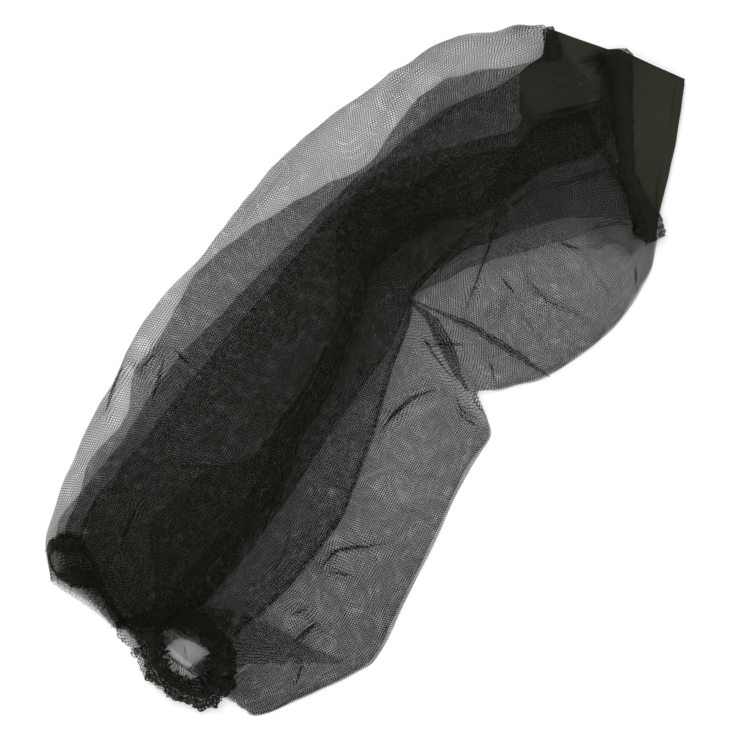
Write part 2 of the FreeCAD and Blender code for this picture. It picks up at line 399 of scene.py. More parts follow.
# %% [markdown]
# ## Round folds, gathers and crumples
# Net is springy, so a fold in it is a small loop and not a sharp edge. Blurring
# the points round the tube opens every fold into such a loop.
#
# Both ends are gathered. A gather is the net swinging from side to side faster
# than it moves forward, so near each end the layers get waves that run along
# the tube. They fade out in the first hundred and fifty millimetres.
#
# The soft crumples in between are slow waves, different in each layer. They
# are what makes two nets on each other shimmer. Wrinkles are waves with steep
# flanks: along each flank the net is squeezed or drawn apart a little.

# %% Round the folds and add gathers
TUBE_LENGTH = 640.0     # mm of net from the hat end to the yoke
GATHER_REACH = 45.0     # mm in which the gathers fade to a third
GATHER_WAVE = 13.0      # mm of net in one gather
LOW_GATHER = 0.4        # share of them in the two lowest layers, flat on the table
FOLD_SOFT = 1.5         # how far a fold opens into a loop, in columns
CRUMPLE_SIZE = 38       # length of the slow crumples, mm
CRUMPLE_SHIFT = 37.0    # each layer reads the crumples so many mm further on
WRINKLE_SIZE = 105      # the same for the steep wrinkles
WRINKLE_SHIFT = 61.0
WRINKLE_FLANK = 0.22    # the smaller, the steeper
round_the_tube = np.arange(plan.shape[1])[None, :] * COLUMN_WIDTH
along_mm = share * TUBE_LENGTH
plan = soften(plan, FOLD_SOFT, axis=1, closed=True)
lift = soften(lift, FOLD_SOFT, axis=1, closed=True)
x, y = plan[..., 0], plan[..., 1]

from_hat = along_mm[:, None] + 0 * x
from_yoke = along_mm[-1] - from_hat
gather = np.exp(-from_hat / GATHER_REACH) + np.exp(-from_yoke / GATHER_REACH)
gather *= np.where(layer_of > 1, 1.0, LOW_GATHER)
wander = 2.0 * ripple(from_hat, round_the_tube, 90, 3)
phase = 2 * math.pi * round_the_tube / GATHER_WAVE + wander
crumple = 1.3 * ripple(x, y + CRUMPLE_SHIFT * layer_of[None, :], CRUMPLE_SIZE, 8)
wrinkle = ripple(x, y + WRINKLE_SHIFT * layer_of[None, :], WRINKLE_SIZE, 9)
wrinkle = np.tanh(wrinkle / WRINKLE_FLANK)
x = x + 1.2 * gather * np.sin(phase) + 0.8 * crumple + 0.6 * wrinkle
y = y + 1.8 * gather * np.cos(phase) + 0.5 * crumple - 0.4 * wrinkle
lift = lift + 1.6 * gather * np.sin(phase + 0.8) + 0.5 * crumple
print("gathers round each end:", round(round_the_tube.max() / GATHER_WAVE))

# %% [markdown]
# ## Creases
# A crease in net is a narrow tuck: the net doubles back on itself for two or
# three millimetres, which puts three layers where there was one and makes a
# dark thread-like line. Each crease is a given line, a width and the
# layers that it runs through. A soft crease only squeezes the net.

# %% Pinch the creases
CREASES = [
    # line in mm, width of the tuck in mm, layers
    ([(37, -18), (28, -38), (23, -63), (25, -74)], 3.5, (0, 4)),
    ([(-61, -51), (-38, -48), (-11, -52), (5, -62), (14, -73)], 5.5, (0, 4)),
    ([(18, -70), (6, -90), (12, -118)], 3.0, (1,)),
    ([(23, -83), (18, -99), (14, -115)], 3.2, (4,)),
    ([(8, -76), (2, -95), (7, -122)], 3.2, (5,)),
    ([(130, -53), (124, -85), (131, -111), (133, -134)], 3.0, (1,)),
    ([(57, -78), (39, -101)], 3.5, (4,)),
    ([(108, -27), (77, -37), (66, -42)], 4.0, (1, 4)),
    ([(115, -36), (111, -61), (109, -70)], 3.2, (5,)),
    ([(197, -122), (180, -138)], 4.0, (1, 5)),
    ([(20, -19), (57, -64)], 3.5, (0, 4)),
    ([(167, -60), (176, -83)], 4.5, (1, 5)),
    ([(-114, -121), (-153, -85), (-173, -85), (-184, -90)], 5.0, (0, 5)),
    ([(-173, -90), (-159, -112)], 3.5, (1, 4)),
    ([(-223, -88), (-201, -103)], 3.5, (0, 4)),
    ([(-206, -113), (-239, -107)], 5.5, (1, 5)),
    ([(-242, -123), (-265, -134)], 4.5, (0, 4)),
    ([(-143, -32), (-180, -52), (-215, -60)], 4.5, (4,)),
    ([(-112, 136), (-139, 122), (-164, 112)], 5.0, (6, 11)),
    ([(-110, 136), (-111, 122), (-112, 110), (-109, 100)], 3.2, (6,)),
    ([(-223, 70), (-247, 63), (-272, 55)], 4.5, (6, 11)),
    ([(-192, 73), (-154, 27)], 4.5, (6, 11)),
    ([(-200, 135), (-165, 150), (-140, 157)], 4.0, (0, 11)),
    ([(-150, 142), (-112, 138)], 4.0, (0, 11)),
    ([(173, 1), (125, -20), (72, -39)], 4.0, (1, 5)),
    ([(-290, -29), (-313, -55)], 2.6, (0,)),
]
SOFT_CREASES = [
    ([(150, -45), (126, -62), (122, -75), (130, -92), (136, -134)], 5.0, (0, 4)),
    ([(180, -72), (170, -98), (156, -140)], 5.0, (1, 5)),
    ([(200, -70), (196, -95), (200, -122)], 5.0, (1, 4)),
    ([(95, -45), (101, -80), (92, -122)], 5.0, (1, 4)),
    ([(70, -50), (90, -60), (118, -60)], 4.5, (0, 5)),
    ([(-62, -48), (-65, -91), (-39, -128)], 4.0, (5,)),
    ([(-92, -84), (-85, -112), (-80, -144)], 4.0, (5,)),
    ([(-130, -80), (-140, -110), (-180, -140)], 5.0, (0, 5)),
    ([(-200, -80), (-225, -110), (-240, -140)], 5.0, (0, 4)),
    ([(120, 110), (170, 125), (215, 128)], 5.0, (0, 11)),
    ([(-40, 150), (20, 158), (90, 150)], 5.0, (0, 11)),
    ([(180, 148), (215, 118), (250, 90)], 5.0, (0, 11)),
]
FULL_TUCK = 2.3         # pinched so hard that the net doubles back
SOFT_TUCK = 0.85        # only squeezed
TUCK_HEIGHT = 1.6       # mm that a crease stands up
TUCK_STEPS = 60         # points along a crease
TUCK_END = 3.0          # mm in which a crease fades beyond its ends


def tuck(x, y, lift, line, width, where, depth):
    """Pinches the net along a line; over a depth of 1 it doubles back."""
    path = path_through(line, TUCK_STEPS, 0.04)
    px, py = x[where], y[where]
    apart = np.hypot(px[..., None] - path[:, 0], py[..., None] - path[:, 1])
    nearest = apart.argmin(axis=-1)
    way = unit(np.gradient(path, axis=0))
    nx, ny = -way[nearest, 1], way[nearest, 0]
    side = (px - path[nearest, 0]) * nx + (py - path[nearest, 1]) * ny
    beyond = apart.min(axis=-1) - np.abs(side)
    ends = np.sin(math.pi * np.clip((nearest + 0.5) / TUCK_STEPS, 0, 1)) ** 0.8
    strength = ends * np.exp(-(np.clip(beyond, 0, None) / TUCK_END) ** 2)
    strength *= np.exp(-(side / width) ** 2)
    x[where] = px - depth * side * strength * nx
    y[where] = py - depth * side * strength * ny
    lift[where] += TUCK_HEIGHT * strength


for depth, creases in ((FULL_TUCK, CREASES), (SOFT_TUCK, SOFT_CREASES)):
    for line, width, layers in creases:
        for layer in layers:
            this_layer = np.ix_(range(ROWS), np.flatnonzero(layer_of == layer))
            tuck(x, y, lift, line, width, this_layer, depth)
print("creases:", len(CREASES), "sharp and", len(SOFT_CREASES), "soft")

# %% [markdown]
# ## The net as one sheet
# The flat-cut position of every point is kept as its UV, in metres, so that the
# holes of the net have their real size. Where the net is gathered, more net
# lies in the same space. That `fullness` is kept too, and it thickens the
# threads there, because a squeezed mesh hole is narrower but its thread is not.

# %% Net tube
OPENING = [(-294, -31), (-287, -61), (-311, -53), (-312, -24)]   # hole in the loop, mm
HAT_FULLER = 0.14       # share of net added at the hat end
HAT_FADE = 160.0        # mm in which that fades
YOKE_FULLER = 0.36      # the same at the yoke, and mostly at its back
YOKE_FADE = 140.0
SLACK = 0.08            # the front lobe is slack towards the hat, taut at the notch
SLACK_MIDDLE = -110.0
SLACK_REACH = 60.0

around = []
start = 0.0
for k, width in enumerate(widths):
    count = (layer_of == k).sum()
    around.append(start + width * np.arange(count) / count)
    start += width
around = np.concatenate(around)
tube_width = start

points = np.stack([x, y, np.clip(lift, LOWEST, HIGHEST)], axis=-1)
across = np.linalg.norm(np.roll(points, -1, axis=1) - points, axis=2)
flat_across = np.roll(around, -1) - around
flat_across[-1] += tube_width
lengthways = np.linalg.norm(np.gradient(points, axis=0), axis=2)
flat_lengthways = TUBE_LENGTH / (ROWS - 1)
full_across = flat_across / np.clip(across, 0.3, None)
full_lengthways = flat_lengthways / np.clip(lengthways, 0.3, None)
fullness = 0.5 * (full_across + full_lengthways)
fullness = np.clip(soften(fullness, 2.0, axis=1, closed=True), 0.8, 3.0)
fullness *= 1.0 + HAT_FULLER * np.exp(-from_hat / HAT_FADE)
towards_back = np.clip((y - 20.0) / 60.0, -0.4, 1.0)
fullness *= 1.0 + YOKE_FULLER * np.exp(-from_yoke / YOKE_FADE) * towards_back
past_slack = (x - SLACK_MIDDLE) / SLACK_REACH
slack = -SLACK * np.tanh(past_slack) * np.exp(-(past_slack / 2.0) ** 2)
fullness *= 1.0 + slack * np.clip((-y - 30.0) / 30.0, 0, 1)
# the two lowest layers run on under the opening
in_opening = within(x, y, OPENING, 1.08) & (layer_of[None, :] > 1)

flat = flat_cut(along_mm[:, None], around[None, :])
faces = [f for f in grid_faces(ROWS, plan.shape[1], True) if not in_opening.ravel()[f[0]]]
net = make_piece("net_tube", points, flat, full=fullness, faces=faces)
print("net tube, flat, mm:", round(tube_width), "x", round(TUBE_LENGTH))

# %% [markdown]
# ## Finishes
# Each finish is a small node group that is built once. It gives out colours,
# masks and heights only, and the surface itself is a Principled shader.
#
# Hexagonal net: the nearest of two interlocked grids of points is the middle of
# the hole, and the distance to it, measured the hexagon's way, says if this
# place is hole or thread.

# %% Node helpers and the net finish
PITCH = 2.05 * MM       # from one mesh hole to the next
THREAD = 0.255 * MM     # how thick its thread is
NET_COLOUR = (0.0076, 0.0080, 0.0040)
HALF_PITCH = 0.5        # the hexagon grid is drawn with a pitch of one
HALF_ROW = math.sqrt(3) / 2


class Nodes:
    """Adds nodes to a tree and joins them, with constants set on the sockets."""

    def __init__(self, tree):
        self.tree = tree

    def fill(self, node, inputs):
        """Sets the sockets of a node, or joins them to other sockets."""
        for key, value in inputs.items():
            if isinstance(value, bpy.types.NodeSocket):
                self.tree.links.new(value, node.inputs[key])
            else:
                node.inputs[key].default_value = value

    def add(self, kind, inputs=None, **settings):
        """New node with its settings and inputs."""
        node = self.tree.nodes.new(kind)
        for key, value in settings.items():
            setattr(node, key, value)
        self.fill(node, inputs or {})
        return node

    def math(self, operation, a, b=0.0):
        return self.add("ShaderNodeMath", {0: a, 1: b}, operation=operation).outputs[0]

    def vector(self, operation, a, b=(0, 0, 0), c=(0, 0, 0)):
        node = self.add("ShaderNodeVectorMath", {0: a, 1: b, 2: c}, operation=operation)
        return node.outputs["Value" if operation in ("LENGTH", "DOT_PRODUCT") else "Vector"]

    def mixed(self, share, colour, spread):
        """Colour between a darker and a lighter version of itself."""
        dark, light = [(*[part * c for c in colour], 1) for part in (1 - spread, 1 + spread)]
        return self.add("ShaderNodeMix", {0: share, 6: dark, 7: light},
                        data_type="RGBA").outputs[2]


def new_group(name, inputs, outputs):
    """Empty node group with its sockets, and the nodes helper to fill it."""
    tree = bpy.data.node_groups.new(name, "ShaderNodeTree")
    for way, sockets in (("INPUT", inputs), ("OUTPUT", outputs)):
        for label, kind in sockets.items():
            tree.interface.new_socket(label, in_out=way, socket_type="NodeSocket" + kind)
    return tree, Nodes(tree)


def new_finish(name):
    """New material, the helper for its nodes, and the flat place on the cloth."""
    material = bpy.data.materials.new(name)
    material.use_nodes = True
    n = Nodes(material.node_tree)
    return material, n, n.add("ShaderNodeUVMap", uv_map="flat_cut").outputs["UV"]


def net_group():
    """Hexagonal net: Cover is 1 on a thread and 0 in a mesh hole."""
    tree, n = new_group("hexagonal_net", {"Place": "Vector", "Pitch": "Float",
                                          "Thread": "Float", "Fullness": "Float"},
                        {"Cover": "Float"})
    start = n.add("NodeGroupInput").outputs
    half = (HALF_PITCH, HALF_ROW, 1.0)
    minus_half = (-HALF_PITCH, -HALF_ROW, -1.0)
    scale = n.math("DIVIDE", 1.0, start["Pitch"])
    place = n.add("ShaderNodeVectorMath", {0: start["Place"], 3: scale},
                  operation="SCALE").outputs["Vector"]
    first = n.vector("WRAP", place, half, minus_half)
    shifted = n.vector("SUBTRACT", place, (HALF_PITCH, HALF_ROW, 0))
    second = n.vector("WRAP", shifted, half, minus_half)
    nearer = n.math("LESS_THAN", n.vector("LENGTH", second), n.vector("LENGTH", first))
    chosen = n.add("ShaderNodeMix", {0: nearer, 4: first, 5: second},
                   data_type="VECTOR").outputs[1]
    side = n.vector("ABSOLUTE", chosen)
    slanted = n.vector("DOT_PRODUCT", side, (HALF_PITCH, HALF_ROW, 0))
    upright = n.add("ShaderNodeSeparateXYZ", {0: side}).outputs["X"]
    reach = n.math("MAXIMUM", slanted, upright)
    thickness = n.math("DIVIDE", n.math("MULTIPLY", start["Thread"], start["Fullness"]),
                       n.math("MULTIPLY", start["Pitch"], 2.0))
    cover = n.math("GREATER_THAN", reach, n.math("SUBTRACT", HALF_PITCH, thickness))
    n.add("NodeGroupOutput", {"Cover": cover})
    return tree


HEX_NET = net_group()


def net_material(name, colour, fuller=1.0):
    """Knitted net: opaque matt threads with real holes between them."""
    material, n, place = new_finish(name)
    full = n.add("ShaderNodeAttribute", attribute_name="fullness").outputs["Fac"]
    group = n.add("ShaderNodeGroup",
                  {"Place": place, "Pitch": PITCH, "Thread": THREAD,
                   "Fullness": n.math("MULTIPLY", full, fuller)}, node_tree=HEX_NET)
    patches = n.add("ShaderNodeTexNoise", {"Vector": place, "Scale": 45.0, "Detail": 3.0})
    n.fill(material.node_tree.nodes["Principled BSDF"], {
        "Alpha": group.outputs["Cover"],
        "Base Color": n.mixed(patches.outputs["Fac"], colour, 0.4),
        "Roughness": 0.75,
        "Specular IOR Level": 0.05,
    })
    return material


BLACK_NET = net_material("black_net", NET_COLOUR)
net.data.materials.append(BLACK_NET)
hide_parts("net_body")
print("net finish: a mesh hole every", round(PITCH / MM, 2), "mm")

# %% [markdown]
# ## Other finishes
# Yoke cloth is a fine plain weave with a soft nap. Elastic is a braid. Thread
# is two twisted plies. All three are nearly black, with the same olive cast as
# the net, and they differ in how their surface breaks up the light.

# %% Cloth, elastic and thread finishes
def weave_group():
    """Plain weave: its height at a place, and slow patches for the colour."""
    tree, n = new_group("plain_weave", {"Place": "Vector", "Pitch": "Float"},
                        {"Height": "Float", "Patches": "Float"})
    start = n.add("NodeGroupInput").outputs
    turns = n.math("DIVIDE", 2 * math.pi, start["Pitch"])
    place = n.add("ShaderNodeSeparateXYZ", {0: start["Place"]}).outputs
    warp = n.math("SINE", n.math("MULTIPLY", place["X"], turns))
    weft = n.math("SINE", n.math("MULTIPLY", place["Y"], turns))
    height = n.math("MULTIPLY", warp, weft)
    patches = n.add("ShaderNodeTexNoise",
                    {"Vector": start["Place"], "Scale": 22.0, "Detail": 4.0})
    n.add("NodeGroupOutput", {"Height": height, "Patches": patches.outputs["Fac"]})
    return tree


WEAVE = weave_group()


def woven_material(name, colour, pitch, depth, sheen):
    """Fine woven or braided textile: a raised weave, and slightly worn patches."""
    material, n, place = new_finish(name)
    group = n.add("ShaderNodeGroup", {"Place": place, "Pitch": pitch}, node_tree=WEAVE)
    bump = n.add("ShaderNodeBump", {"Height": group.outputs["Height"], "Distance": depth,
                                    "Strength": 0.6})
    n.fill(material.node_tree.nodes["Principled BSDF"], {
        "Base Color": n.mixed(group.outputs["Patches"], colour, 0.25),
        "Normal": bump.outputs["Normal"],
        "Roughness": 0.8,
        "Specular IOR Level": 0.1,
        "Sheen Weight": sheen,
        "Sheen Roughness": 0.5,
    })
    return material


CLOTH = woven_material("yoke_cloth", (0.021, 0.0225, 0.0150), 0.6 * MM, 0.05 * MM, 0.02)
ELASTIC = woven_material("braided_elastic", (0.026, 0.027, 0.020), 1.2 * MM, 0.15 * MM, 0.0)
SEWING_THREAD = woven_material("twisted_thread", (0.008, 0.0085, 0.006), 0.5 * MM, 0.1 * MM, 0.02)
GATHERED_NET = net_material("gathered_net", NET_COLOUR, fuller=1.5)
BUNCHED_NET = net_material("bunched_net", (0.0115, 0.012, 0.008), fuller=3.3)
SEAM_NET = net_material("lapped_net", NET_COLOUR, fuller=1.6)
finishes = (CLOTH, ELASTIC, SEWING_THREAD, GATHERED_NET, BUNCHED_NET, SEAM_NET)
print("finishes:", [material.name for material in finishes])

# %% [markdown]
# ## Gathered tubes, strips and stitches
# Three shapes make all the rest. A gathered tube is net bunched round a line,
# with small ruffles across it. A strip is ruled between two lines and swings
# up and down like a frill. A stitch line is a row of short thread tubes.

# %% Builders for gathered pieces
def path_frame(path, closed=False):
    """Run along a path in mm, and its level sideways direction."""
    if closed:
        way = np.roll(path, -1, axis=0) - np.roll(path, 1, axis=0)
    else:
        way = np.gradient(path, axis=0)
    side = np.stack([-way[:, 1], way[:, 0], 0 * way[:, 0]], axis=1)
    return run_along(path), unit(side)


def gathered_tube(name, path, radii, squash, ruffle, material, seed, closed=False,
                  around=28, full=1.0):
    """Tube along a path in mm; radii follow it, ruffles stand on its skin."""
    run, side = path_frame(path, closed)
    turn = np.linspace(0, 2 * math.pi, around, endpoint=False)
    radius = np.broadcast_to(radii, run.shape)[:, None] * np.ones(around)
    wave = ripple(run[:, None], 2.5 * turn[None, :], 8, seed)
    wave += 0.6 * ripple(run[:, None], 4.0 * turn[None, :], 5, seed + 1)
    radius = radius * (1 + ruffle * wave)
    up = np.array([0, 0, 1.0])
    squash = np.broadcast_to(squash, run.shape)[:, None]
    points = (path[:, None, :] + side[:, None, :] * (radius * np.cos(turn))[..., None]
              + up * (squash * radius * np.sin(turn))[..., None])
    points[..., 2] = np.maximum(points[..., 2], LOWEST)
    flat = flat_cut(run[:, None] * 1.5, turn[None, :] * float(np.mean(radii)))
    rows = len(path)
    faces = grid_faces(rows, around, True)
    if closed:
        last = (rows - 1) * around
        faces += [(last + j, last + (j + 1) % around, (j + 1) % around, j) for j in range(around)]
    full = np.broadcast_to(full, run.shape)[:, None]
    return make_piece(name, points, flat, material, full, faces)


def strip(name, first, second, material, across=8, wave=0.0, pitch=9.0, full=1.0, seed=1):
    """Strip ruled from one path to another; it swings more towards the second."""
    t = np.linspace(0, 1, across)
    points = between(first, second, t)
    run = run_along(first)
    width = np.linalg.norm(second - first, axis=1)[:, None]
    phase = 2 * math.pi * run / pitch + 1.5 * ripple(run, 0 * run, 30, seed)
    swing = wave * np.sin(phase)[:, None] * np.sqrt(t)[None, :]
    along = unit(np.gradient(first, axis=0))
    shift = 0.9 * wave * np.cos(phase)[:, None] * t[None, :]
    points = points + along[:, None, :] * shift[..., None]
    points[..., 2] = np.maximum(points[..., 2] + swing, LOWEST)
    return make_piece(name, points, flat_cut(run[:, None] * full, width * t), material, full)


def stitch_line(name, path, stitch=3.0, pitch=6.0, radius=0.35):
    """Row of straight stitches along a path in mm, each a short thread tube."""
    rings, sides = 4, 6
    last = (rings - 1) * sides
    run, side = path_frame(path)
    points, faces, flat = [], [], []
    for k in range(int(run[-1] / pitch)):
        at = (k + 0.5) * pitch + np.array([-0.5, -0.35, 0.35, 0.5]) * stitch
        middle = read_at(at, run, path)
        middle[[0, -1], 2] -= 0.6
        out = read_at(at, run, side)
        base = len(points)
        for m, o in zip(middle, out):
            for turn in np.linspace(0, 2 * math.pi, sides, endpoint=False):
                out_and_up = math.cos(turn) * o + math.sin(turn) * np.array([0, 0, 1.0])
                points.append(m + radius * out_and_up)
                flat.append((k * stitch + np.dot(m, (1, 1, 0)), turn))
        faces += [tuple(base + i for i in f) for f in grid_faces(rings, sides, True)]
        faces.append(tuple(base + i for i in reversed(range(sides))))
        faces.append(tuple(base + last + i for i in range(sides)))
    piece = make_piece(name, points, np.array(flat) * MM, SEWING_THREAD, faces=faces)
    return piece


def height_at(x, y):
    """Height of the whole bundle under a place, in mm."""
    return bundle_top[map_place(x, y)]


def raised(path, height):
    """The path, lifted by so many mm."""
    return path + np.array([0, 0, height])


TOP_SOFT = 1.2          # how softly a piece follows the net under it, in map steps
bundle_top = soften_map(heights, TOP_SOFT)
print("top of the bundle, mm:", round(bundle_top.max(), 1))

# %% [markdown]
# ## Elastic loop of the hat opening
# The net edge is rolled over a band of braided elastic and sewn down, and the
# elastic pulls it into tight, uneven ruffles. Lying slack, the loop stays open
# at one place and is pressed shut along the rest, where it runs under the net.
# Its far end pokes out as two dark bunches.

# %% Crown elastic, its casing and ruffles
LOOP = [
    # x, y, height of the middle, radius of the casing, reach of the frill outside it, mm
    (-305, 44, 3, 1.2, 0.2), (-315, 18, 3, 1.2, 0.2), (-307, -2, 4, 3.0, 1.0),
    (-294, -12, 5, 6.0, 1.0), (-282, -22, 6, 7.0, 0.2), (-276, -38, 7, 7.0, 1.0),
    (-276, -56, 7, 8.0, 2.0), (-284, -71, 7.5, 10.5, 2.0), (-301, -81, 8, 11.5, 1.5),
    (-317, -78, 8, 11.5, 1.5), (-327, -62, 7.5, 10.0, 1.5), (-330, -44, 7, 9.0, 3.0),
    (-321, -25, 7, 10.0, 7.0), (-312, -12, 6, 9.0, 9.0), (-317, 6, 3, 2.4, 9.0),
    (-310, 42, 3, 1.2, 1.0), (-304, 54, 5, 5.0, 1.0), (-311, 66, 7, 8.0, 3.0),
    (-318, 76, 7, 6.5, 3.0), (-321, 85, 4, 1.2, 1.0), (-315, 97, 4, 1.2, 1.0),
    (-304, 102, 6, 5.0, 1.0), (-297, 94, 7, 8.0, 2.0), (-290, 83, 7, 5.0, 1.0),
    (-293, 68, 4, 1.2, 0.2),
]
LOOP_STEPS = 800        # points round the loop
loop = np.array(LOOP + LOOP[:1], float)
run = run_along(loop[:, :3])
crown = read_at(np.linspace(0, run[-1], LOOP_STEPS, endpoint=False), run, loop)
crown = soften(crown, 6, closed=True)
crown, radii, reach = crown[:, :3], crown[:, 3], crown[:, 4]
lumps = 2.4 * ripple(crown[:, 0], crown[:, 1], 20, 18) * np.clip((radii - 3) / 4, 0, 1)
_, side = path_frame(crown, closed=True)
crown[:, :2] += lumps[:, None] * side[:, :2]
bunched = np.clip((radii - 1.5) / 5, 0.2, 1.0)
casing = gathered_tube("crown_casing", crown, radii, 0.7, 0.34, BUNCHED_NET, 21, closed=True,
                       around=36, full=bunched)
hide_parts("elastic_casing")
# the flat elastic lies level in the bunches and stands on its edge where the loop is shut
on_edge = np.clip((4.0 - radii) / 2, 0, 1)
band = gathered_tube("crown_elastic", crown, 2.2 - 1.7 * on_edge, 0.5 + 4.0 * on_edge, 0.0,
                     ELASTIC, 5, closed=True, around=12)
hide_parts("hat_elastic")
print("elastic loop, mm:", round(run[-1]))

# %% [markdown]
# ## Frills of the hat opening
# The rolled edge leaves a frill on each side. Outside it stands up where the
# loop is open. Inside, it reaches over the opening and leaves a hole with four
# corners, through which the lowest layers and the table are seen.

# %% Frills of the hat opening
run, side = path_frame(crown, closed=True)
ragged = reach * np.clip(1 + 0.3 * ripple(run, 0 * run, 25, 31), 0.6, None)
frill = strip("crown_frill", crown + side * (radii * 0.5)[:, None],
              raised(crown + side * (radii + ragged)[:, None], -3.0),
              GATHERED_NET, across=9, wave=2.2, pitch=6.0, full=1.4, seed=31)
OPEN_PART = slice(3, 14)        # the places of the loop round the open ring
open_ring = path_through([p[:3] for p in LOOP[OPEN_PART]], 300, 0.01)
hole_edge = path_through([(*p, 6.0) for p in OPENING + OPENING[:1]], 300, 0.006)
inner_frill = strip("crown_inner_frill", open_ring, hole_edge, GATHERED_NET, across=12,
                    wave=1.4, pitch=8.0, full=1.3, seed=32)
far_upper = path_through([(-317, 94, 6), (-304, 101, 7), (-290, 83, 7)], 120)
far_lower = path_through([(-320, 80, 6), (-312, 67, 7), (-302, 53, 6)], 120)
far_net = strip("far_end_ruffle", far_upper, far_lower, GATHERED_NET, across=14,
                wave=1.8, pitch=6.0, full=1.3, seed=34)
crown_thread = stitch_line("crown_stitches", raised(crown, 6.0))
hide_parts("casing_stitching")
print("frills:", [piece.name for piece in (frill, inner_frill, far_net)])

# %% [markdown]
# ## Side seam of the net
# The two long edges of the net are lapped and sewn, which makes one darker
# line from end to end. It lies along the front fold of the top layers.

# %% Side seam
SIDE_SEAM = [(-238, -70), (-180, -74), (-129, -70), (-61, -47), (-1, -19), (31, -9), (58, 6),
             (120, 3), (180, -16), (232, -48), (252, -62)]
HALF_LAP = 2.5          # mm
seam_route = path_through([(*p, 0) for p in SIDE_SEAM], 240, 0.01)
seam_route[:, 2] = height_at(seam_route[:, 0], seam_route[:, 1]) + 1.5
_, side = path_frame(seam_route)
side_seam = strip("side_seam", seam_route - HALF_LAP * side, seam_route + HALF_LAP * side,
                  SEAM_NET, across=4, seed=3)
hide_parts("net_side_seam")
seam_thread = stitch_line("side_seam_stitches", raised(seam_route, 0.5))
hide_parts("side_seam_stitching")
print("side seam, mm:", round(run_along(seam_route)[-1]))

# %% [markdown]
# ## Yoke
# The shoulder yoke is two panels of smooth cloth, joined at their sides. The
# back panel is partly drawn up inside the net, where a single layer of net
# covers it. Both lie nearly flat, with a few slow ripples, so the panels are
# ruled between given edges and then rippled.

# %% Yoke panels
SEAM = [(324, 4, 16), (300, -19, 15.5), (272, -46, 14.5), (248, -69, 13), (234, -97, 11),
        (222, -124, 8)]
HEM = [(343, -55, 4), (320, -70, 4.5), (296, -84, 4), (270, -98, 4), (243, -111, 4)]
BACK_INNER = [(301, 62), (280, 50), (258, 56), (230, 34), (229, 24), (249, 4), (281, -16),
              (262, -50), (232, -95), (226, -118)]
BACK_OUTER = [(301.5, 63), (306, 52), (311, 38), (316, 25), (321, 12), (327, -6), (335, -30),
              (343, -56), (296, -85), (244, -111)]
DRAWN_UP = 7            # the first seven inner places lie inside the net
SEAM_END = 314          # past this x the cloth is outside the net
CLOTH_LOWEST = 0.5      # mm above the table


def panel(name, first, second, rows, columns, waves, seed, rest=None):
    """Cloth ruled between two edges, with slow ripples, and no lower than rest."""
    a = path_through(first, rows, 0.008)
    b = path_through(second, rows, 0.008)
    t = np.linspace(0, 1, columns)
    points = between(a, b, t)
    inside = np.sin(math.pi * t)[None, :] ** 0.5
    x, y = points[..., 0], points[..., 1]
    points[..., 2] += waves * inside * ripple(x, y, 70, seed)
    points[..., 2] = np.maximum(points[..., 2], CLOTH_LOWEST)
    if rest is not None:
        points[..., 2] = np.maximum(points[..., 2], rest(x, y))
    run = run_along(a)
    width = np.linalg.norm(b - a, axis=1).mean()
    piece = make_piece(name, points, flat_cut(run[:, None], width * t[None, :]), CLOTH)
    area = sum(face.area for face in piece.data.polygons)
    return piece, area


front, front_area = panel("yoke_front", SEAM, HEM, 90, 40, 2.4, 51)
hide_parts("yoke_front_panel")
net_below = soften_map(under_last, TOP_SOFT)


def on_the_net(x, y):
    """Height of cloth on the net below it, with its tip tucked 5 mm in."""
    tucked = 5.0 * np.exp(-((x - CLOTH_TIP[0]) / 12) ** 2)
    return net_below[map_place(x, y)] + 0.8 - tucked


def tongue_rest(x, y):
    """Height that holds up the drawn-up part of the back panel, in mm."""
    drawn_up = np.clip((SEAM_END - x) / 20, 0, 1) * np.clip(past_cloth_edge(x, y) / 8, 0, 1)
    return drawn_up * on_the_net(x, y)


inner = np.array(BACK_INNER, float)
in_net = np.arange(len(inner)) < DRAWN_UP
inner_height = np.where(in_net, on_the_net(inner[:, 0], inner[:, 1]), 4.0)
outer = [(*p, 2.0) for p in BACK_OUTER]
back, back_area = panel("yoke_back", np.column_stack([inner, inner_height]), outer,
                        120, 50, 1.0, 52, tongue_rest)
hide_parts("yoke_back_panel")
print("yoke panels, square cm:", round(front_area * 1e4), round(back_area * 1e4))

# %% [markdown]
# ## Gathered seam of the yoke
# The whole width of the net is gathered into the top edge of the yoke. The
# gathers make a dark, rounded ridge, with a second ridge where they turn back.
# At the upper corner the net is bunched into a short dark knot.

# %% Gathered seam
SEAM_STEPS = 260
RIDGE_SHARES = [0, 0.04, 0.25, 0.6, 0.75, 0.92, 1]      # of the seam's run
RIDGE_RADII = [7, 11, 8.5, 6.5, 8, 13, 9]               # of the ridge there, mm
INNER_RIDGE = [(302, 6, 24), (276, -14, 24), (246, -40, 21), (239, -70, 17), (228, -92, 13),
               (213, -106, 9)]
LOW_PART = 150          # from this step on, the gathers lie double
KNOT_STEPS = 60
seam_path = path_through(SEAM, SEAM_STEPS, 0.006)
inner_ridge = path_through(INNER_RIDGE, SEAM_STEPS, 0.006)
ridge_radii = np.interp(np.linspace(0, 1, SEAM_STEPS), RIDGE_SHARES, RIDGE_RADII)
ridge = gathered_tube("seam_ridge", raised(seam_path, 0.5), ridge_radii, 0.6, 0.12,
                      BUNCHED_NET, 61)
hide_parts("gathered_seam_tape")
gathers = strip("seam_gathers", inner_ridge, seam_path, GATHERED_NET, across=12,
                wave=0.8, pitch=8.0, full=2.0, seed=62)
low_gathers = strip("seam_gathers_low", inner_ridge[LOW_PART:] - [3, 2, 1],
                    seam_path[LOW_PART:] - [0, 0, 1], GATHERED_NET, across=12,
                    wave=0.8, pitch=7.0, full=1.5, seed=63)
seam_stitches = stitch_line("seam_stitches", raised(seam_path, 4.6))
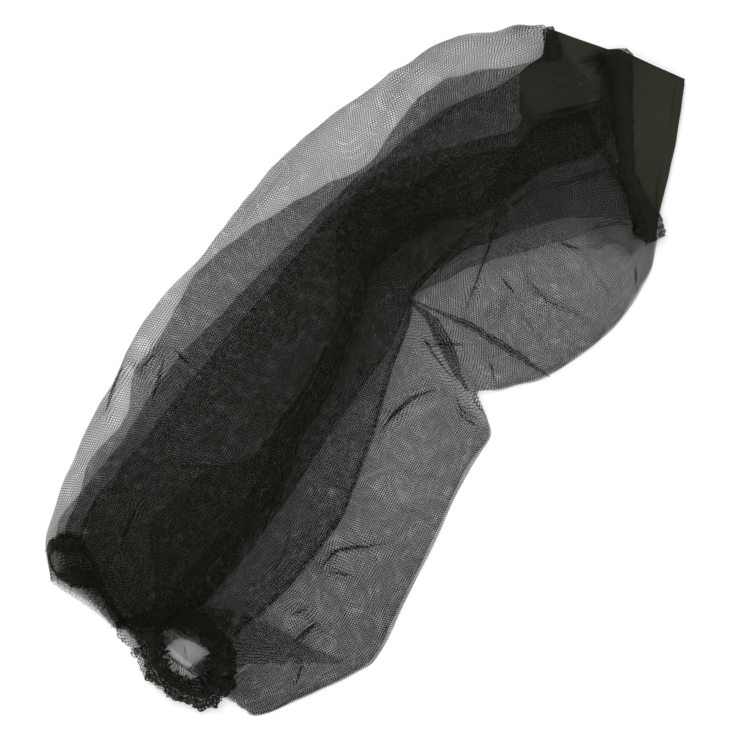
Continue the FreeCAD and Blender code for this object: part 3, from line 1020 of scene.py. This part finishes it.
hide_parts("gather_stitching")
knot_path = path_through([(301, 62, 9), (293, 50, 10), (284, 40, 9)], KNOT_STEPS, 0.01)
knot_radii = np.interp(np.linspace(0, 1, KNOT_STEPS), [0, 0.3, 1], [4, 7, 5.5])
knot = gathered_tube("corner_knot", knot_path, knot_radii, 0.8, 0.15, BUNCHED_NET, 66)
print("yoke seam, mm:", round(run_along(seam_path)[-1]))

# %% [markdown]
# ## Hem and side seams
# The free edge of the yoke is turned over once and sewn. The two panels meet
# in a flat seam at each side.

# %% Hem and side seams
HEM_WIDTH = 10          # mm
HEM_STITCHES = 8        # mm from the edge
hem_path = path_through(HEM, 160, 0.006)
seam_even = path_through(SEAM, 160, 0.006)
inward = unit(seam_even - hem_path)
hem = strip("yoke_hem_fold", raised(hem_path, 0.5), raised(hem_path + HEM_WIDTH * inward, 0.4),
            CLOTH, across=5)
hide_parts("yoke_hem")
hem_stitches = stitch_line("hem_stitches", raised(hem_path + HEM_STITCHES * inward, 0.7),
                           stitch=2.2, pitch=3.2, radius=0.2)
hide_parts("hem_stitching")
upper_side = path_through([(324, 4, 17), (333, -25, 11.5), (343, -55, 5.8)], 60, 0.01)
lower_side = path_through([(320, 13, 2.5), (331, -19, 2.5), (343, -56, 2.5)], 60, 0.01)
side_strip = strip("yoke_side_seam", upper_side, lower_side, CLOTH, wave=0.6, pitch=40.0)
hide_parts("yoke_side_seams")
print("hem, mm:", round(run_along(hem_path)[-1]))

# %% [markdown]
# ## Wide pleats
# A few folds are wider than a crease. Each is a flap of net that lies double on
# the layer below it, and it is drawn by its two edges.

# %% Wide pleats
PLEATS = {
    "notch_pleat": ([(49, 6), (67, -43), (75, -87), (76, -130)],
                    [(48, 5), (62, -44), (68, -86), (75, -130)]),
    "notch_pleat_small": ([(49, 5), (53, -25), (44, -51), (29, -71), (24, -85)],
                          [(48, 4), (45, -18), (35, -41), (25, -65), (22, -82)]),
    "seam_pocket": ([(188, -74), (204, -78), (216, -92), (218, -113)],
                    [(178, -83), (186, -93), (199, -99), (199, -119)]),
    "ring_flap": ([(-242, -57), (-234, -91), (-229, -119), (-220, -152)],
                  [(-290, -76), (-268, -97), (-244, -125), (-221, -152)]),
    "ring_tuck": ([(-292, -14), (-268, -20), (-244, -52)],
                  [(-290, -26), (-281, -38), (-268, -60)]),
}
DARK_PLEATS = ("ring_tuck", "notch_pleat", "notch_pleat_small")
PLEAT_ROWS = 90         # points along a flap
FLAP = 8                # points across each of the two layers of a flap


def pleat(name, edges, material, seed):
    """Double flap of net between two edges, resting on the bundle."""
    a, b = [path_through([(*p, 0.0) for p in edge], PLEAT_ROWS, 0.01) for edge in edges]
    t = np.concatenate([np.linspace(0, 1, FLAP), np.linspace(1, 0.04, FLAP)])
    points = between(a, b, t)
    points[..., :2] += 0.8 * ripple(points[..., 0], points[..., 1], 14, seed)[..., None]
    points[..., 2] = height_at(points[..., 0], points[..., 1]) + np.linspace(0.8, 2.0, 2 * FLAP)
    run = run_along(a)
    width = np.linalg.norm(b - a, axis=1).mean()
    travelled = [np.linspace(0, width, FLAP), np.linspace(width, 2 * width, FLAP)]
    flat = flat_cut(run[:, None], np.concatenate(travelled)[None, :])
    return make_piece(name, points, flat, material, full=1.0)


pleats = [pleat(name, edges, GATHERED_NET if name in DARK_PLEATS else BLACK_NET, 70 + k)
          for k, (name, edges) in enumerate(PLEATS.items())]
print("wide pleats:", len(pleats))

# %% [markdown]
# ## What is cloth
# Every piece of cloth keeps the size of its flat cut as its UVs. The casing,
# the frills, the gathers and the pleats are the same net as the tube.

# %% [markdown]
# ## Table
# The veil lies on a sheet of white paper that is far wider than it, so that
# nothing but white shows through the net. It is not a piece of the veil.

# %% Table
EDGE = 3.0              # metres from the middle to each edge of the table
corners = [(-EDGE, -EDGE, 0), (EDGE, -EDGE, 0), (EDGE, EDGE, 0), (-EDGE, EDGE, 0)]
floor_mesh = bpy.data.meshes.new("table_top")
floor_mesh.from_pydata(corners, [], [(0, 1, 2, 3)])
floor = bpy.data.objects.new("table_top", floor_mesh)
scene.collection.objects.link(floor)
paper = bpy.data.materials.new("white_paper")
paper.use_nodes = True
Nodes(paper.node_tree).fill(paper.node_tree.nodes["Principled BSDF"],
                            {"Base Color": (0.95, 0.95, 0.95, 1), "Roughness": 0.9})
floor.data.materials.append(paper)
print("table, metres across:", 2 * EDGE)
